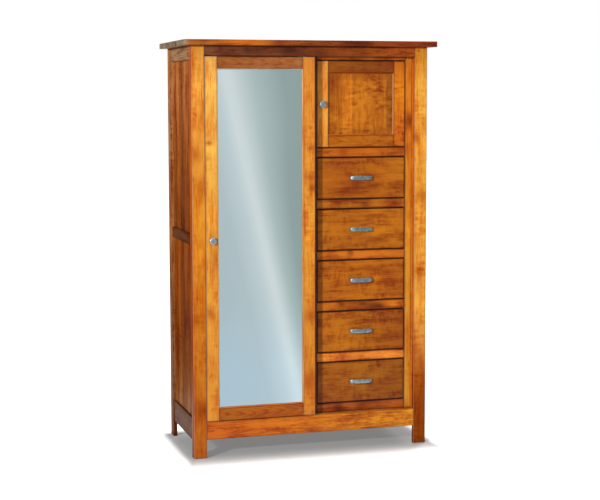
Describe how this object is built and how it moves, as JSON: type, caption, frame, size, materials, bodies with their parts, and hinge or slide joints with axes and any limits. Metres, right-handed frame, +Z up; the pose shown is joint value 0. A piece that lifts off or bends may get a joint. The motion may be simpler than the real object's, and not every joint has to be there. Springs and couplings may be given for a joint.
{
  "type": "chifforobe",
  "caption": "Tall wooden chifforobe: a hanging bay behind a sliding mirror door, beside a small hinged cupboard over a column of drawers, on four square legs.",
  "frame": {"origin": "middle of the footprint, on the floor under the feet", "axes": "+Z up, the front with the doors and drawers faces -Y, +X to the right of someone facing the front"},
  "size_m": [1.248, 0.607, 1.981],
  "materials": {
    "front_wood": "satin lacquer over a warm amber stain",
    "rail_wood": "satin lacquer over a red-brown stain",
    "drawer_wood": "satin lacquer over a brown amber stain",
    "side_wood": "satin lacquer over a brown stain",
    "inner_wood": "clear sealed, unstained",
    "pewter": "satin pewter",
    "aluminium": "mill",
    "steel": "zinc plated",
    "mirror": "silvered glass"
  },
  "bodies": {
    "case": {"post_front_left": "front_wood", "post_front_right": "front_wood", "post_back_left": "front_wood", "post_back_right": "front_wood", "top_slab": "rail_wood", "front_top_rail": "rail_wood", "front_bottom_rail": "front_wood", "side_left_bottom_rail": "side_wood", "side_left_mid_rail": "side_wood", "side_left_top_rail": "side_wood", "side_left_lower_panel": "side_wood", "side_left_upper_panel": "side_wood", "side_right_bottom_rail": "side_wood", "side_right_mid_rail": "side_wood", "side_right_top_rail": "side_wood", "side_right_lower_panel": "side_wood", "side_right_upper_panel": "side_wood", "back_panel": "inner_wood", "bottom_board": "front_wood", "center_partition": "front_wood", "face_stile_right": "front_wood", "face_top_rail": "rail_wood", "web_frame_1": "rail_wood", "web_frame_2": "rail_wood", "web_frame_3": "rail_wood", "web_frame_4": "rail_wood", "web_frame_5": "rail_wood", "cupboard_floor": "rail_wood", "shelf_cleat_left": "inner_wood", "shelf_cleat_right": "inner_wood", "hat_shelf": "inner_wood", "hanging_rod": "inner_wood", "door_track": "aluminium", "door_guide": "steel", "small_door_pivot_lower": "steel", "small_door_pivot_upper": "steel"},
    "mirror_door": {"mirror_door_frame": "front_wood", "mirror_glass": "mirror", "mirror_backboard": "inner_wood", "mirror_door_knob": "pewter", "door_hanger_left": "steel", "door_hanger_right": "steel"},
    "small_door": {"small_door_frame": "front_wood", "small_door_panel": "drawer_wood", "small_door_knob": "pewter"},
    "drawer_1": {"drawer_1_front": "drawer_wood", "drawer_1_box": "inner_wood", "drawer_1_pull": "pewter"},
    "drawer_2": {"drawer_2_front": "drawer_wood", "drawer_2_box": "inner_wood", "drawer_2_pull": "pewter"},
    "drawer_3": {"drawer_3_front": "drawer_wood", "drawer_3_box": "inner_wood", "drawer_3_pull": "pewter"},
    "drawer_4": {"drawer_4_front": "drawer_wood", "drawer_4_box": "inner_wood", "drawer_4_pull": "pewter"},
    "drawer_5": {"drawer_5_front": "drawer_wood", "drawer_5_box": "inner_wood", "drawer_5_pull": "pewter"}
  },
  "joints": [
    {"name": "mirror_door_slide", "type": "slide", "parent": "case", "child": "mirror_door", "axis": [-1, 0, 0], "range_m": [-0.506, 0]},
    {"name": "small_door_hinge", "type": "hinge", "parent": "case", "child": "small_door", "pos_m": [0.478, -0.2165, 1.68], "axis": [0, 0, 1], "range_deg": [0, 100]},
    {"name": "drawer_1_slide", "type": "slide", "parent": "case", "child": "drawer_1", "axis": [0, -1, 0], "range_m": [0, 0.38]},
    {"name": "drawer_2_slide", "type": "slide", "parent": "case", "child": "drawer_2", "axis": [0, -1, 0], "range_m": [0, 0.38]},
    {"name": "drawer_3_slide", "type": "slide", "parent": "case", "child": "drawer_3", "axis": [0, -1, 0], "range_m": [0, 0.38]},
    {"name": "drawer_4_slide", "type": "slide", "parent": "case", "child": "drawer_4", "axis": [0, -1, 0], "range_m": [0, 0.38]},
    {"name": "drawer_5_slide", "type": "slide", "parent": "case", "child": "drawer_5", "axis": [0, -1, 0], "range_m": [0, 0.38]}
  ]
}
